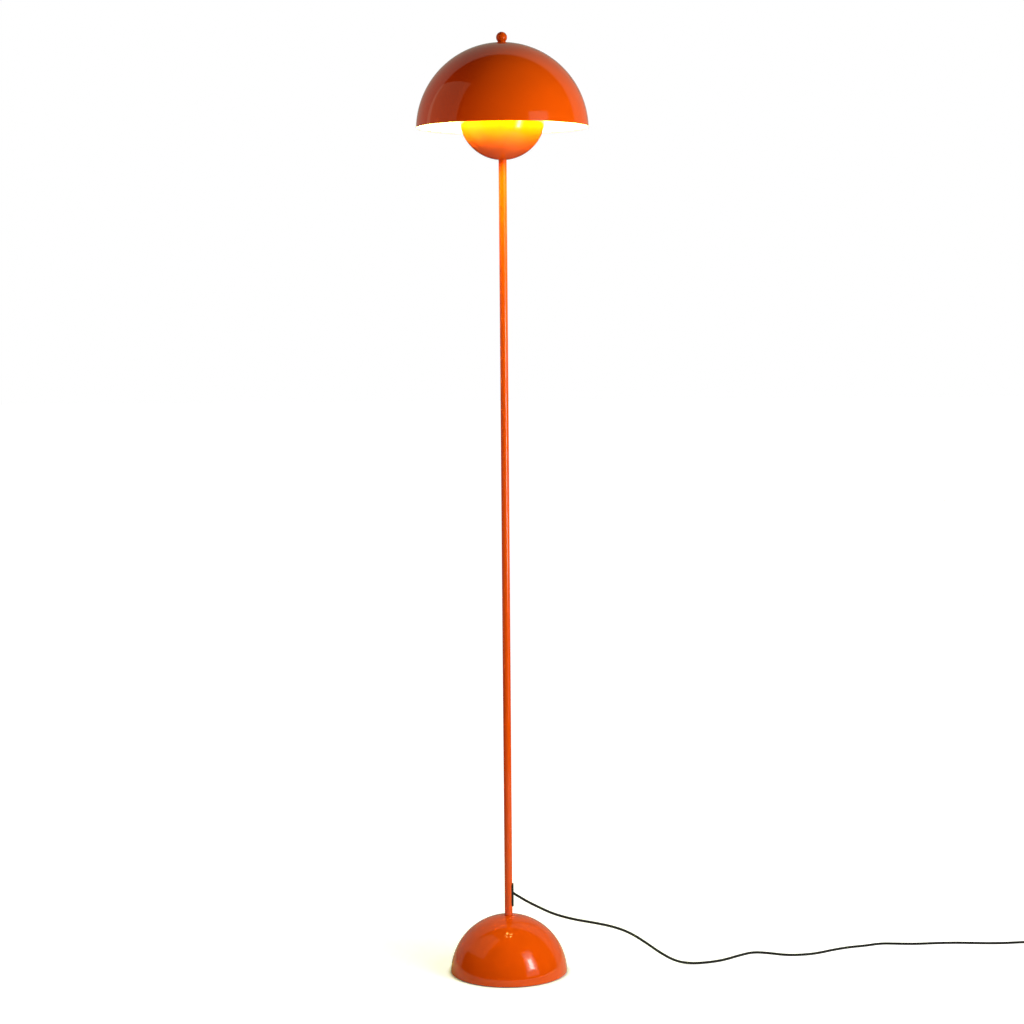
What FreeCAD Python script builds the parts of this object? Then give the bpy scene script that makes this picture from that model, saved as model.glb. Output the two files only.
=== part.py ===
import FreeCAD, Part
import math
import os

# A mushroom floor lamp, in millimetres. +Z is up and the origin is on the floor, at the centre of the
# base. +X is the side that the cord leaves from, and -Y is the front.

# Fits and gaps
fit = 0.05  # between pieces that are pressed or screwed together
moving_gap = 0.3  # between pieces that lift or slide apart
hole_play = 0.4  # round a screw, stud or tube that passes through a hole
overlap = 1.0  # how far shapes reach into or past each other before they are joined or cut

# Base: a spun dome, slightly flatter than a hemisphere, over a cast weight
base_radius = 122.6  # of the sphere that the dome is part of
base_height = 119.8
base_wall = 1.2
hem_height = 6.0  # the dome's edge is folded inwards over this height
pad_thickness = 1.5
pad_inset = 2.6  # the pad's edge stands this far inside the dome's
plate_thickness = 2.0
weight_inset = 16.0  # between the dome's hem and the weight
weight_height = 26.0
weight_chamfer = 4.0
boss_radius = 24.0
boss_height = 34.0
recess_depth = 8.5  # for the pole bolt's head
recess_radius = 11.0
web_thickness = 4.0  # between the recess and the pole's lower end

# Pole bolt
bolt_diameter = 8.0
bolt_length = 26.0
bolt_head_width = 13.0
bolt_head_height = 5.3
washer_diameter = 20.0
washer_thickness = 1.6

# Lugs in the dome that take the bottom plate's screws
lug_count = 3
lug_width = 16.0
lug_depth = 12.0
lug_height = 14.0
lug_angle = 30.0  # of the first lug, from +X
lug_screw_diameter = 4.0
lug_screw_length = 10.0
lug_screw_head = 7.5

# Pole: two tubes that meet at a fine seam
pole_diameter = 16.5
pole_wall = 1.5
pole_top_z = 1684.0
pole_seam_z = 1380.0
foot_plug_length = 24.0
joint_sleeve_length = 56.0
joint_sleeve_wall = 2.2
top_plug_length = 22.0

# Cord outlet: a long plate with rounded ends on the side of the pole
outlet_z = 163.0
outlet_length = 50.0
outlet_width = 11.0
outlet_proud = 2.7
outlet_edge = 1.2  # rounding of the plate's outer edge
outlet_neck_length = 27.0
outlet_neck_width = 8.4

# Collar and bowl
collar_height = 8.0
bowl_radius = 88.2
bowl_height = 85.7
bowl_wall = 1.0
saddle_radius = 18.0
saddle_height = 5.2

# Shade
shade_radius = 176.0
shade_height = 171.0
shade_wall = 1.0
shade_rim_drop = 20.2  # the shade's rim hangs this far below the bowl's

# Hollow threaded nipple that ties pole, bowl and carrier together
nipple_diameter = 10.0
nipple_bore = 6.6
nipple_depth = 18.0  # screwed into the top plug
nipple_proud = 1.0  # inside the lampholder's cap
inner_cord_proud = 2.0  # above the nipple
nut_width = 14.0
nut_height = 3.0

# Shade carrier: a foot plate, three bent wires and a hub with a stud
foot_plate_radius = 28.0
foot_plate_thickness = 2.0
leg_count = 3
leg_wire = 4.0
leg_foot_radius = 24.0
leg_foot_rise = 12.0  # from the foot plate to the first bend
leg_foot_bend = 20.0
leg_belly_radius = 45.0
leg_belly_bend = 40.0
leg_belly_bottom = 42.0  # above the foot plate
leg_belly_top = 168.0  # above the foot plate
leg_top_radius = 10.0
leg_top_start = 15.0  # below the hub
leg_top_bend = 14.0
hub_radius = 16.0
hub_height = 9.0
flange_radius = 17.0
flange_height = 3.0
leg_socket_depth = 6.0
felt_thickness = 2.1
felt_inset = 1.0  # inside the hub's flange
stud_diameter = 6.0
stud_height = 12.0  # inside the finial

# Finial: a ball on a short foot
ball_diameter = 22.4
finial_height = 21.2
finial_foot_radius = 8.25
finial_foot_height = 2.0
finial_bore_depth = 14.0

# Lampholder for a 27 mm screw cap
holder_radius = 20.0
holder_cap_height = 16.0
holder_cap_floor = 4.0
holder_cap_wall = 5.0
holder_bevel = 2.0
holder_body_height = 36.0
mouth_bevel = 1.0
insert_radius = 16.3
insert_height = 9.0
screw_shell_radius = 13.35
screw_shell_wall = 0.5
screw_shell_height = 22.0
contact_width = 6.0
contact_length = 14.0
contact_rise = 2.0
contact_strip = 0.5
lead_diameter = 2.2
lead_spacing = 16.0  # at the insert
lead_straight = 0.35  # share of the leads' height that is straight at each end

# Bulb
bulb_diameter = 60.0
bulb_length = 108.0
bulb_neck_radius = 13.0
bulb_cap_height = 27.0
bulb_glass_wall = 1.0
thread_crest_radius = 13.0
thread_root_radius = 12.2
thread_pitch = 3.6
thread_turns = 5
thread_wall = 0.6
cap_lip = 1.0  # plain band at the cap's top
tip_radius = 4.0
tip_height = 1.5
tip_bevel = 0.8
insulator_height = 3.5
insulator_rim = 1.5  # beyond the tip

# Cord: its route is a list of points from the outlet to the foot switch, and from there to the coil
cord_diameter = 5.4
cord_lift = 0.05  # keeps its underside just off the floor
cord_exit_z = 166.0
cord_exit_slope = 33.0  # degrees below level
cord_exit_run = 27.0  # straight out of the outlet
inner_cord_bend = 11.0
switch_lead = 40.0  # straight into the switch
bend_share = 0.45  # how much of the shorter run beside a bend its arc takes up
cord_floor_z = cord_diameter / 2 + cord_lift

# Foot switch on the cord, long way along Y
switch_x = 1215.0
switch_y = 47.0
switch_length = 84.0
switch_width = 36.0
switch_end_width = 17.0
switch_base_height = 8.0
switch_cover_height = 13.0
switch_wall = 2.0
switch_edge = 4.0
button_radius = 10.5
button_travel = 3.0
button_proud = 3.4
button_edge = 2.0
button_flange = 1.5
button_flange_height = 1.8
block_width = 17.0
block_length = 26.0
block_height = 5.5
plunger_radius = 4.0
switch_screw_diameter = 2.6
switch_screw_head = 5.2
switch_screw_length = 14.0
switch_screw_along = 25.0
switch_screw_aside = 6.4
switch_post_radius = 3.2
gland_length = 20.0
gland_wide = 11.0
gland_narrow = 7.4

# Coil of the cord that is put away
coil_radius = 37.0  # of its outermost half turn
coil_pitch = 5.9  # between neighbouring turns and between its two layers
coil_half_turns = 4  # in each layer
coil_x = 1218.0  # of its outermost point
coil_y = -118.0

# Flat two-pin plug, lying on the floor
plug_length = 36.0
plug_width = 35.3
plug_tail_width = 14.0
plug_nose_length = 12.0
plug_thickness = 13.7
plug_edge = 2.0
plug_sway = 1.5  # the plug lies this far beside the coil's end
plug_y = -5.0  # of its rear end
pin_diameter = 4.0
pin_length = 19.0
pin_spacing = 18.6
pin_root = 8.0
pin_core_diameter = 2.8  # inside the body and the insulating sleeves
pin_sleeve_diameter = 3.6
pin_sleeve_length = 10.0
plug_gland_length = 20.0

# Heights that follow from the sizes above
base_centre_z = base_height - base_radius
base_inner_radius = base_radius - base_wall
plate_top_z = pad_thickness + plate_thickness
weight_top_z = plate_top_z + weight_height
pole_foot_z = plate_top_z + recess_depth + web_thickness
pole_radius = pole_diameter / 2
pole_bore = pole_radius - pole_wall
bowl_bottom_z = pole_top_z + collar_height
bowl_rim_z = bowl_bottom_z + bowl_height
bowl_centre_z = bowl_bottom_z + bowl_radius
bowl_inner_radius = bowl_radius - bowl_wall
foot_plate_z = bowl_bottom_z + bowl_wall + saddle_height
nut_z = foot_plate_z + foot_plate_thickness
holder_z = nut_z + nut_height
holder_body_z = holder_z + holder_cap_height
insert_top_z = holder_body_z + insert_height
nipple_top_z = holder_z + holder_cap_floor + nipple_proud
inner_cord_top_z = nipple_top_z + inner_cord_proud
bulb_z = insert_top_z + contact_rise + moving_gap
shade_rim_z = bowl_rim_z - shade_rim_drop
shade_centre_z = shade_rim_z + shade_height - shade_radius
shade_inner_radius = shade_radius - shade_wall
shade_top_z = shade_rim_z + shade_height
felt_z = shade_top_z - shade_wall - moving_gap - felt_thickness
flange_z = felt_z - flange_height
hub_z = flange_z - hub_height
finial_z = shade_top_z + moving_gap
hem_inner_radius = base_inner_radius - base_wall
outlet_face_x = pole_radius + outlet_proud
switch_seam_z = switch_base_height
switch_top_z = switch_base_height + switch_cover_height
button_low_z = switch_top_z - switch_wall - moving_gap - button_flange_height
plug_z = plug_thickness / 2 + cord_lift

UP = FreeCAD.Vector(0, 0, 1)
ORIGIN = FreeCAD.Vector(0, 0, 0)


def at(x, y, z):
    return FreeCAD.Vector(x, y, z)


def sphere_z(centre_z, radius, distance):
    """How far up a sphere's upper half is at this distance from the vertical axis."""
    return centre_z + math.sqrt(radius**2 - distance**2)


def lower_sphere_z(centre_z, radius, distance):
    return centre_z - math.sqrt(radius**2 - distance**2)


def sphere_width(centre_z, radius, z):
    """A sphere's distance from the vertical axis at height z."""
    return math.sqrt(radius**2 - (z - centre_z) ** 2)


def about(distance, z):
    """Makes the next edge of an outline an arc about this centre."""
    return "about", distance, z


def outline(*steps):
    """A closed face in the XZ plane: corners (distance, z), with about() before each arc's end."""
    edges, here, centre = [], None, None
    for step in steps + steps[:1]:
        if step[0] == "about":
            centre = at(step[1], 0, step[2])
            continue
        there = at(step[0], 0, step[1])
        if here is not None and centre is None:
            edges.append(Part.LineSegment(here, there).toShape())
        elif here is not None:
            middle = (here - centre) + (there - centre)
            middle = centre + middle.normalize() * (here - centre).Length
            edges.append(Part.Arc(here, middle, there).toShape())
        here, centre = there, None
    return Part.Face(Part.Wire(edges))


def turned(*steps):
    """The outline turned about the vertical axis."""
    return outline(*steps).revolve(ORIGIN, UP, 360)


def disc(radius, low, high):
    return Part.makeCylinder(radius, high - low, at(0, 0, low), UP)


def ring(outer, inner, low, high):
    return disc(outer, low, high).cut(disc(inner, low - overlap, high + overlap))


def hexagon(width, low, high):
    corner = width / math.sqrt(3)
    angles = [math.radians(60 * i) for i in range(7)]
    points = [at(corner * math.cos(a), corner * math.sin(a), low) for a in angles]
    return Part.Face(Part.makePolygon(points)).extrude(UP * (high - low))


def turned_copies(shape, count, first=0.0):
    """The shape and its copies, evenly spaced about the vertical axis."""
    copies = []
    for i in range(count):
        copy = shape.copy()
        copy.rotate(ORIGIN, UP, first + i * 360.0 / count)
        copies.append(copy)
    return copies


def line(start, end):
    return Part.LineSegment(start, end).toShape()


def rounded_path(points, radii):
    """Straight runs through the points, with an arc of each radius at the inner ones."""
    edges, here = [], points[0]
    for before, corner, after, radius in zip(points, points[1:], points[2:], radii):
        back, ahead = (before - corner).normalize(), (after - corner).normalize()
        half_turn = (math.pi - back.getAngle(ahead)) / 2
        start = corner + back * radius * math.tan(half_turn)
        end = corner + ahead * radius * math.tan(half_turn)
        middle = corner + (back + ahead).normalize() * radius * (1 / math.cos(half_turn) - 1)
        edges += [line(here, start), Part.Arc(start, middle, end).toShape()]
        here = end
    return Part.Wire(edges + [line(here, points[-1])])


def bar(path, radius):
    """A round bar along a smooth path."""
    first = path.OrderedEdges[0]
    start, heading = first.valueAt(first.FirstParameter), first.tangentAt(first.FirstParameter)
    section = Part.Wire(Part.makeCircle(radius, start, heading))
    return path.makePipeShell([section], True, False)


# ---- Base ----


def base_shell():
    low_z = pad_thickness
    hole = pole_radius + hole_play / 2
    hem_top_z = low_z + hem_height
    return turned(
        (hem_inner_radius, low_z),
        (sphere_width(base_centre_z, base_radius, low_z), low_z),
        about(0, base_centre_z),
        (hole, sphere_z(base_centre_z, base_radius, hole)),
        (hole, sphere_z(base_centre_z, base_inner_radius, hole)),
        about(0, base_centre_z),
        (sphere_width(base_centre_z, base_inner_radius, hem_top_z), hem_top_z),
        (hem_inner_radius, hem_top_z),
    )


def base_pad():
    return disc(sphere_width(base_centre_z, base_radius, pad_thickness) - pad_inset, 0, pad_thickness)


def lug_screw_radius():
    return hem_inner_radius - lug_depth / 2


def lug_screw(play=0.0, length=lug_screw_length):
    """A countersunk screw, or with play the hole for it."""
    shank, head = lug_screw_diameter / 2 + play, lug_screw_head / 2 + play
    body = turned(
        (0, pad_thickness),
        (head, pad_thickness),
        (shank, pad_thickness + head - shank),
        (shank, pad_thickness + length),
        (0, pad_thickness + length),
    )
    body.translate(at(lug_screw_radius(), 0, 0))
    return body


def base_plate():
    plate = disc(hem_inner_radius - moving_gap, pad_thickness, plate_top_z)
    for hole in turned_copies(lug_screw(fit), lug_count, lug_angle):
        plate = plate.cut(hole)
    return plate


def base_lugs():
    hem_top_z = pad_thickness + hem_height
    cavity = turned(
        (0, plate_top_z),
        (hem_inner_radius, plate_top_z),
        (hem_inner_radius, hem_top_z),
        (sphere_width(base_centre_z, base_inner_radius, hem_top_z), hem_top_z),
        about(0, base_centre_z),
        (0, base_centre_z + base_inner_radius),
    )
    inner_x = hem_inner_radius - lug_depth
    lug = Part.makeBox(2 * lug_depth, lug_width, lug_height, at(inner_x, -lug_width / 2, plate_top_z))
    lug = lug.common(cavity).cut(lug_screw(fit, lug_screw_length + overlap))
    return Part.makeCompound(turned_copies(lug, lug_count, lug_angle))


def base_screws():
    return Part.makeCompound(turned_copies(lug_screw(), lug_count, lug_angle))


def base_weight():
    radius = hem_inner_radius - weight_inset
    socket = pole_radius + fit
    recess_top_z = plate_top_z + recess_depth
    bolt_hole = (bolt_diameter + hole_play) / 2
    boss_top_z = weight_top_z + boss_height
    return turned(
        (recess_radius, plate_top_z),
        (radius, plate_top_z),
        (radius, weight_top_z - weight_chamfer),
        (radius - weight_chamfer, weight_top_z),
        (boss_radius + weight_chamfer, weight_top_z),
        about(boss_radius + weight_chamfer, weight_top_z + weight_chamfer),
        (boss_radius, weight_top_z + weight_chamfer),
        (boss_radius, boss_top_z - weight_chamfer / 2),
        (boss_radius - weight_chamfer / 2, boss_top_z),
        (socket, boss_top_z),
        (socket, pole_foot_z),
        (bolt_hole, pole_foot_z),
        (bolt_hole, recess_top_z),
        (recess_radius, recess_top_z),
    )


def pole_bolt():
    washer_z = plate_top_z + recess_depth - washer_thickness
    head = hexagon(bolt_head_width, washer_z - bolt_head_height, washer_z)
    return head.fuse(disc(bolt_diameter / 2, washer_z - overlap, washer_z + bolt_length)).removeSplitter()


def bolt_washer():
    top_z = plate_top_z + recess_depth
    return ring(washer_diameter / 2, (bolt_diameter + hole_play) / 2, top_z - washer_thickness, top_z)


# ---- Pole ----


def lower_pole():
    tube = ring(pole_radius, pole_bore, pole_foot_z, pole_seam_z)
    return tube.cut(outlet_slot(outlet_neck_length, outlet_neck_width, pole_diameter))


def upper_pole():
    return ring(pole_radius, pole_bore, pole_seam_z, pole_top_z)


def pole_foot_plug():
    bolt_hole = bolt_diameter / 2 + fit
    return ring(pole_bore - fit, bolt_hole, pole_foot_z, pole_foot_z + foot_plug_length)


def pole_joint_sleeve():
    half = joint_sleeve_length / 2
    outer = pole_bore - fit
    return ring(outer, outer - joint_sleeve_wall, pole_seam_z - half, pole_seam_z + half)


def pole_top_plug():
    return ring(pole_bore - fit, nipple_diameter / 2 + fit, pole_top_z - top_plug_length, pole_top_z)


def outlet_slot(length, width, reach):
    """A bar along X with this slot-shaped section, from the pole's axis outwards."""
    half, end = width / 2, (length - width) / 2
    low, high = outlet_z - end, outlet_z + end
    edges = [
        line(at(0, half, low), at(0, half, high)),
        Part.Arc(at(0, half, high), at(0, 0, high + half), at(0, -half, high)).toShape(),
        line(at(0, -half, high), at(0, -half, low)),
        Part.Arc(at(0, -half, low), at(0, 0, low - half), at(0, half, low)).toShape(),
    ]
    return Part.Face(Part.Wire(edges)).extrude(at(reach, 0, 0))


def outlet_heading():
    slope = math.radians(cord_exit_slope)
    return at(math.cos(slope), 0, -math.sin(slope))


def cord_outlet():
    """The plate, hollowed to sit on the pole, with a neck through its wall and a sloping hole."""
    plate = outlet_slot(outlet_length, outlet_width, outlet_face_x)
    face_edges = [e for e in plate.Edges if e.BoundBox.XMin > outlet_face_x - fit]
    plate = plate.makeFillet(outlet_edge, face_edges)
    plate = plate.cut(disc(pole_radius + fit, 0, pole_seam_z))
    neck_reach = pole_radius + outlet_proud / 2
    neck = outlet_slot(outlet_neck_length - 2 * fit, outlet_neck_width - 2 * fit, neck_reach)
    neck = neck.cut(disc(pole_bore, 0, pole_seam_z))
    exit_point = at(outlet_face_x, 0, cord_exit_z)
    heading = outlet_heading()
    hole = Part.makeCylinder(
        cord_diameter / 2 + fit, 4 * pole_radius, exit_point - heading * 2 * pole_radius, heading
    )
    return plate.fuse(neck).cut(hole).removeSplitter()


def inner_cord():
    """The cord inside the pole, from the lampholder down to the outlet."""
    exit_point, heading = at(outlet_face_x, 0, cord_exit_z), outlet_heading()
    corner = exit_point - heading * (outlet_face_x / heading.x)
    path = rounded_path([at(0, 0, inner_cord_top_z), corner, exit_point], [inner_cord_bend])
    return bar(path, cord_diameter / 2)


# ---- Head ----


def bowl_collar():
    bore = nipple_diameter / 2 + fit
    return turned(
        (bore, pole_top_z),
        (pole_radius, pole_top_z),
        (pole_radius, lower_sphere_z(bowl_centre_z, bowl_radius, pole_radius)),
        about(0, bowl_centre_z),
        (bore, lower_sphere_z(bowl_centre_z, bowl_radius, bore)),
    )


def bowl():
    hole = (nipple_diameter + hole_play) / 2
    return turned(
        (hole, lower_sphere_z(bowl_centre_z, bowl_radius, hole)),
        about(0, bowl_centre_z),
        (sphere_width(bowl_centre_z, bowl_radius, bowl_rim_z), bowl_rim_z),
        (sphere_width(bowl_centre_z, bowl_inner_radius, bowl_rim_z), bowl_rim_z),
        about(0, bowl_centre_z),
        (hole, lower_sphere_z(bowl_centre_z, bowl_inner_radius, hole)),
    )


def head_nipple():
    return ring(nipple_diameter / 2, nipple_bore / 2, pole_top_z - nipple_depth, nipple_top_z)


def saddle_washer():
    bore = (nipple_diameter + hole_play) / 2
    return turned(
        (bore, lower_sphere_z(bowl_centre_z, bowl_inner_radius, bore)),
        about(0, bowl_centre_z),
        (saddle_radius, lower_sphere_z(bowl_centre_z, bowl_inner_radius, saddle_radius)),
        (saddle_radius, foot_plate_z),
        (bore, foot_plate_z),
    )


def nipple_nut():
    top = nut_z + nut_height
    bore = disc(nipple_diameter / 2 + fit, nut_z - overlap, top + overlap)
    return hexagon(nut_width, nut_z, top).cut(bore)


def carrier_foot():
    return ring(foot_plate_radius, (nipple_diameter + hole_play) / 2, foot_plate_z, nut_z)


def carrier_legs():
    belly = leg_belly_radius
    socket_z = hub_z + leg_socket_depth
    points = [
        at(leg_foot_radius, 0, nut_z),
        at(leg_foot_radius, 0, nut_z + leg_foot_rise),
        at(belly, 0, nut_z + leg_belly_bottom),
        at(belly, 0, nut_z + leg_belly_top),
        at(leg_top_radius, 0, hub_z - leg_top_start),
        at(leg_top_radius, 0, socket_z),
    ]
    radii = [leg_foot_bend, leg_belly_bend, leg_belly_bend, leg_top_bend]
    leg = bar(rounded_path(points, radii), leg_wire / 2)
    return Part.makeCompound(turned_copies(leg, leg_count, 90))


def carrier_hub():
    hub = disc(hub_radius, hub_z, flange_z).fuse(disc(flange_radius, flange_z, felt_z))
    hub = hub.fuse(disc(stud_diameter / 2, felt_z - overlap, finial_z + stud_height))
    socket = disc(leg_wire / 2 + fit, hub_z - overlap, hub_z + leg_socket_depth)
    socket = socket.translated(at(leg_top_radius, 0, 0))
    for hole in turned_copies(socket, leg_count, 90):
        hub = hub.cut(hole)
    return hub.removeSplitter()


def hub_felt():
    under_shade = shade_inner_radius - moving_gap
    bore = (stud_diameter + hole_play) / 2
    edge = flange_radius - felt_inset
    return turned(
        (bore, felt_z),
        (edge, felt_z),
        (edge, sphere_z(shade_centre_z, under_shade, edge)),
        about(0, shade_centre_z),
        (bore, sphere_z(shade_centre_z, under_shade, bore)),
    )


def shade():
    hole = stud_diameter / 2 + 2 * hole_play
    return turned(
        (sphere_width(shade_centre_z, shade_inner_radius, shade_rim_z), shade_rim_z),
        (sphere_width(shade_centre_z, shade_radius, shade_rim_z), shade_rim_z),
        about(0, shade_centre_z),
        (hole, sphere_z(shade_centre_z, shade_radius, hole)),
        (hole, sphere_z(shade_centre_z, shade_inner_radius, hole)),
        about(0, shade_centre_z),
    )


def finial():
    radius = ball_diameter / 2
    centre_z = finial_z + finial_height - radius
    foot_top_z = finial_z + finial_foot_height
    bore = stud_diameter / 2 + moving_gap
    return turned(
        (bore, finial_z),
        (finial_foot_radius, finial_z),
        (finial_foot_radius, foot_top_z),
        (sphere_width(centre_z, radius, foot_top_z), foot_top_z),
        about(0, centre_z),
        (0, centre_z + radius),
        (0, finial_z + finial_bore_depth),
        (bore, finial_z + finial_bore_depth),
    )


# ---- Lampholder ----


def holder_cap():
    low, high = holder_z, holder_body_z
    inner = holder_radius - holder_cap_wall
    bore = nipple_diameter / 2 + fit
    return turned(
        (bore, low),
        (holder_radius - holder_bevel, low),
        (holder_radius, low + 2 * holder_bevel),
        (holder_radius, high),
        (inner, high),
        (inner, low + holder_cap_floor),
        (bore, low + holder_cap_floor),
    )


def holder_body():
    """The sleeve holds the insert down and stands round the screw shell."""
    low, high = holder_body_z, holder_body_z + holder_body_height
    mouth = screw_shell_radius + screw_shell_wall + fit
    return turned(
        (insert_radius + fit, low),
        (holder_radius, low),
        (holder_radius, high - holder_bevel),
        (holder_radius - holder_bevel, high),
        (mouth + mouth_bevel, high),
        (mouth, high - mouth_bevel),
        (mouth, insert_top_z),
        (insert_radius + fit, insert_top_z),
    )


def holder_insert():
    return disc(insert_radius, holder_body_z, insert_top_z)


def screw_shell():
    outer = screw_shell_radius + screw_shell_wall
    return ring(outer, screw_shell_radius, insert_top_z, insert_top_z + screw_shell_height)


def centre_contact():
    """A bent spring strip whose raised end meets the bulb's tip."""
    low, rise, strip = insert_top_z, contact_rise, contact_strip
    half = contact_length / 2
    corners = [(-half, low), (-strip, low), (strip, low + rise - strip), (half / 2, low + rise - strip)]
    corners += [(half / 2, low + rise), (0, low + rise), (-2 * strip, low + strip), (-half, low + strip)]
    face = outline(*corners)
    return face.extrude(at(0, contact_width, 0)).translated(at(0, -contact_width / 2, 0))


def holder_leads():
    start = lead_diameter / 2 + moving_gap
    spread = lead_spacing / 2
    straight = lead_straight * (holder_body_z - inner_cord_top_z)
    points = [
        at(start, 0, inner_cord_top_z),
        at(start, 0, inner_cord_top_z + straight),
        at(spread, 0, holder_body_z - straight),
        at(spread, 0, holder_body_z),
    ]
    lead = bar(rounded_path(points, [lead_diameter, lead_diameter]), lead_diameter / 2)
    return Part.makeCompound(turned_copies(lead, 2))


# ---- Bulb ----


def bulb_shape(inset):
    """Neck and ball of the glass, with the neck's curve meeting the ball smoothly."""
    ball, neck = bulb_diameter / 2, bulb_neck_radius
    neck_z = bulb_z + bulb_cap_height
    ball_z = bulb_z + bulb_length - ball
    flare = (neck**2 + (ball_z - neck_z) ** 2 - ball**2) / (2 * (ball - neck))
    share = (ball - inset) / (ball + flare)
    return {
        "neck": (neck - inset, neck_z),
        "flare": about(neck + flare, neck_z),
        "meeting": ((neck + flare) * share, ball_z - (ball_z - neck_z) * share),
        "ball": about(0, ball_z),
        "top": (0, ball_z + ball - inset),
    }


def bulb_glass():
    outer, inner = bulb_shape(0), bulb_shape(bulb_glass_wall)
    return turned(
        outer["neck"],
        outer["flare"],
        outer["meeting"],
        outer["ball"],
        outer["top"],
        inner["top"],
        inner["ball"],
        inner["meeting"],
        inner["flare"],
        inner["neck"],
    )


def bulb_cap():
    """A thin shell with the rings of its screw thread."""
    low = bulb_z + tip_height + insulator_height
    top = bulb_z + bulb_cap_height
    crest, root = thread_crest_radius, thread_root_radius
    inner = root - thread_wall
    steps = [(inner, low), (root, low)]
    for i in range(thread_turns):
        steps += [(crest, low + (i + 0.5) * thread_pitch), (root, low + (i + 1) * thread_pitch)]
    steps += [(crest, top - cap_lip), (crest, top), (inner, top)]
    return turned(*steps)


def bulb_insulator():
    low = bulb_z + tip_height
    return turned(
        (0, low),
        (tip_radius + insulator_rim, low),
        (thread_root_radius, low + insulator_height),
        (0, low + insulator_height),
    )


def bulb_tip():
    low, top = bulb_z, bulb_z + tip_height
    return turned(
        (0, low),
        (tip_radius - tip_bevel, low),
        (tip_radius, low + tip_bevel),
        (tip_radius, top),
        (0, top),
    )


# ---- Cord ----


def cord_run_points():
    """From the outlet, falling free to the floor, along it and up to the switch."""
    exit_point = at(outlet_face_x, 0, cord_exit_z)
    falling = [
        tuple(exit_point),
        tuple(exit_point + outlet_heading() * cord_exit_run),
        (62, 8, 134.5),
        (94, 12, 118),
        (136, 12, 106),
        (182, 12, 98),
        (224, 13, 88.5),
        (258, 14, 74.5),
        (290, 16, 53),
        (321, 19.5, 29.5),
        (354, 26, 9.5),
    ]
    lying = [
        (387, 32.5),
        (419, 38),
        (455, 54),
        (490, 86),
        (526, 115),
        (562, 105),
        (594, 89.5),
        (628, 90),
        (664, 101.5),
        (701, 127),
        (740, 146.5),
        (776, 156.5),
        (812, 173.5),
        (848, 169.5),
        (886, 166.5),
        (930, 172),
        (978, 174),
        (1026, 169),
        (1073, 167),
        (1122, 174),
        (1166, 178.5),
    ]
    switch_end_y = switch_y + switch_length / 2
    rising = [
        (1198, 162, 3.2),
        (switch_x, switch_end_y + switch_lead, switch_seam_z),
        (switch_x, switch_end_y, switch_seam_z),
    ]
    points = falling + [(x, y, cord_floor_z) for x, y in lying] + rising
    return [at(*p) for p in points]


def sway(start, end):
    """Along Y at both ends and across in between, a third of the way each."""
    third = at(0, (end.y - start.y) / 3, 0)
    return [start, start + third, end - third, end]


def cord_tail_points():
    """From the switch down to the start of the coil."""
    switch_end = at(switch_x, switch_y - switch_length / 2, switch_seam_z)
    return sway(switch_end, at(coil_x, coil_y + cord_diameter, cord_floor_z))


def cord_end_points():
    """From the end of the coil to the plug."""
    return sway(coil_end(), at(plug_x(), plug_y, plug_z))


def cord_radii(points):
    """Arcs as large as the shorter run beside each point allows."""
    radii = []
    for before, corner, after in zip(points, points[1:], points[2:]):
        half_turn = (math.pi - (before - corner).getAngle(after - corner)) / 2
        shorter = min((before - corner).Length, (after - corner).Length)
        radii.append(bend_share * shorter / math.tan(half_turn))
    return radii


def measured_tube(name, path):
    tube = bar(path, cord_diameter / 2)
    expected = math.pi * cord_diameter**2 / 4 * path.Length
    print(f"{name}: {path.Length:.0f} mm long, volume {tube.Volume / expected:.4f} of section times length")
    return tube


def free_cord(name, points):
    radii = cord_radii(points)
    path = rounded_path(points, radii)
    print(f"{name}: least radius {min(radii):.0f} mm")
    return measured_tube(name, path)


def half_turn(x, side, radius, z):
    """Clockwise from the coil's +X side (1) or its -X side (-1)."""
    middle = at(x - side * radius, coil_y - side * radius, z)
    return Part.Arc(at(x, coil_y, z), middle, at(x - 2 * side * radius, coil_y, z)).toShape()


def climbing_half_turn(x, side, radius, low, high):
    """Two quarter turns that rise from one layer to the next and meet smoothly."""
    rise = high - low
    start, end = at(x, coil_y, low), at(x - 2 * side * radius, coil_y, high)
    wide = math.sqrt(radius**2 + rise**2 / 4)
    crown = at(x - side * radius, coil_y - side * wide, (low + high) / 2)
    quarters = []
    for outer, inner in ((start, crown), (end, crown)):
        heading = at(0, -side, 0)
        chord = inner - outer
        normal = (chord - heading * chord.dot(heading)).normalize()
        bend = chord.Length**2 / (2 * chord.dot(normal))
        centre = outer + normal * bend
        middle = centre + ((outer - centre) + (inner - centre)).normalize() * bend
        quarters.append((outer, middle, inner))
    (first, first_middle, meeting), (last, last_middle, _) = quarters
    return [
        Part.Arc(first, first_middle, meeting).toShape(),
        Part.Arc(meeting, last_middle, last).toShape(),
    ]


def coil_path():
    """Spirals in along the floor, climbs a layer and spirals out again above."""
    x, side, low, high = coil_x, 1, cord_floor_z, cord_floor_z + coil_pitch
    radii = [coil_radius - i * coil_pitch / 2 for i in range(coil_half_turns)]
    edges = [line(at(x, coil_y + cord_diameter, low), at(x, coil_y, low))]
    for radius in radii:
        edges.append(half_turn(x, side, radius, low))
        x, side = x - 2 * side * radius, -side
    inmost = radii[-1] - coil_pitch / 2
    edges += climbing_half_turn(x, side, inmost, low, high)
    x, side = x - 2 * side * inmost, -side
    for radius in reversed(radii):
        edges.append(half_turn(x, side, radius, high))
        x, side = x - 2 * side * radius, -side
    edges.append(line(at(x, coil_y, high), at(x, coil_y + cord_diameter, high)))
    return Part.Wire(edges)


def coil_end():
    last = coil_path().OrderedEdges[-1]
    return last.valueAt(last.LastParameter)


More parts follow.
